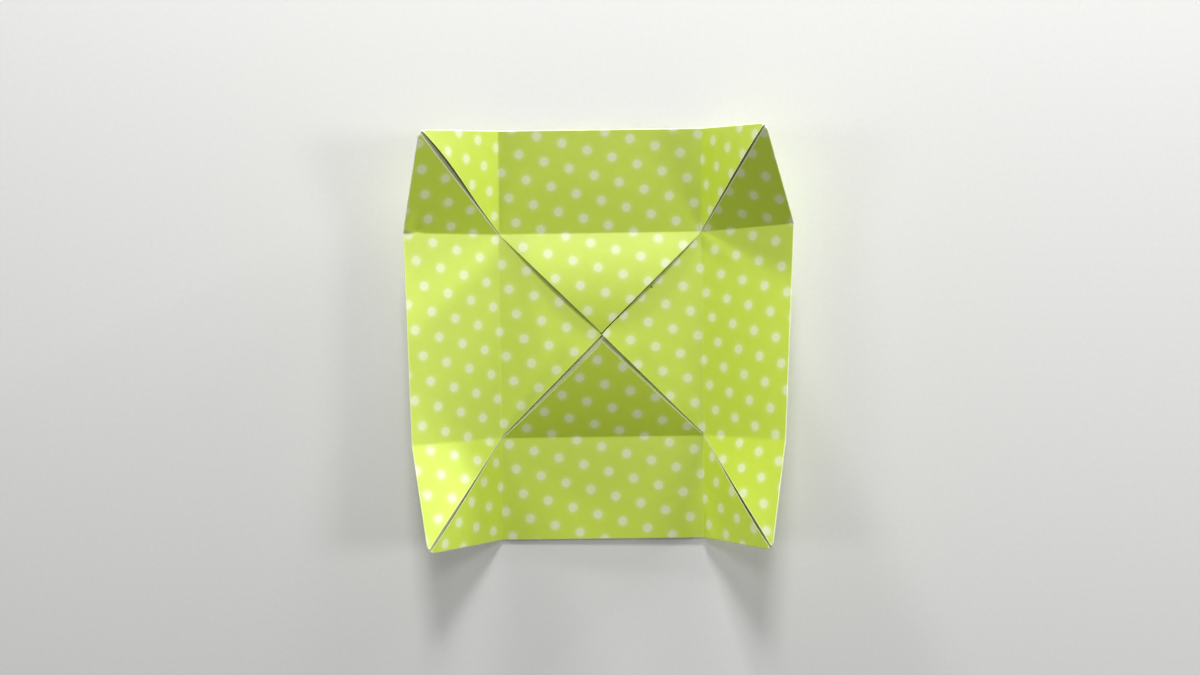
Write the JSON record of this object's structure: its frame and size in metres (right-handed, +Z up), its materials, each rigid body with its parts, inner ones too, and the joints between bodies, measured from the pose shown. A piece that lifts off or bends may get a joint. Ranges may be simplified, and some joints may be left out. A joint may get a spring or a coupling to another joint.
{
  "type": "origami box",
  "caption": "Shallow square origami tray folded from a single sheet of polka-dot paper, with its corners folded in to line the floor and its walls leaning out.",
  "frame": {"origin": "middle of the square floor's underside, where the tray rests on the table", "axes": "+Z up out of the tray, +X towards the right wall and +Y towards the rear wall, which is at the top of the picture"},
  "size_m": [0.097, 0.1061, 0.0267],
  "materials": {
    "paper": "matt"
  },
  "bodies": {
    "root": {"folded_sheet": "paper"}
  },
  "joints": []
}
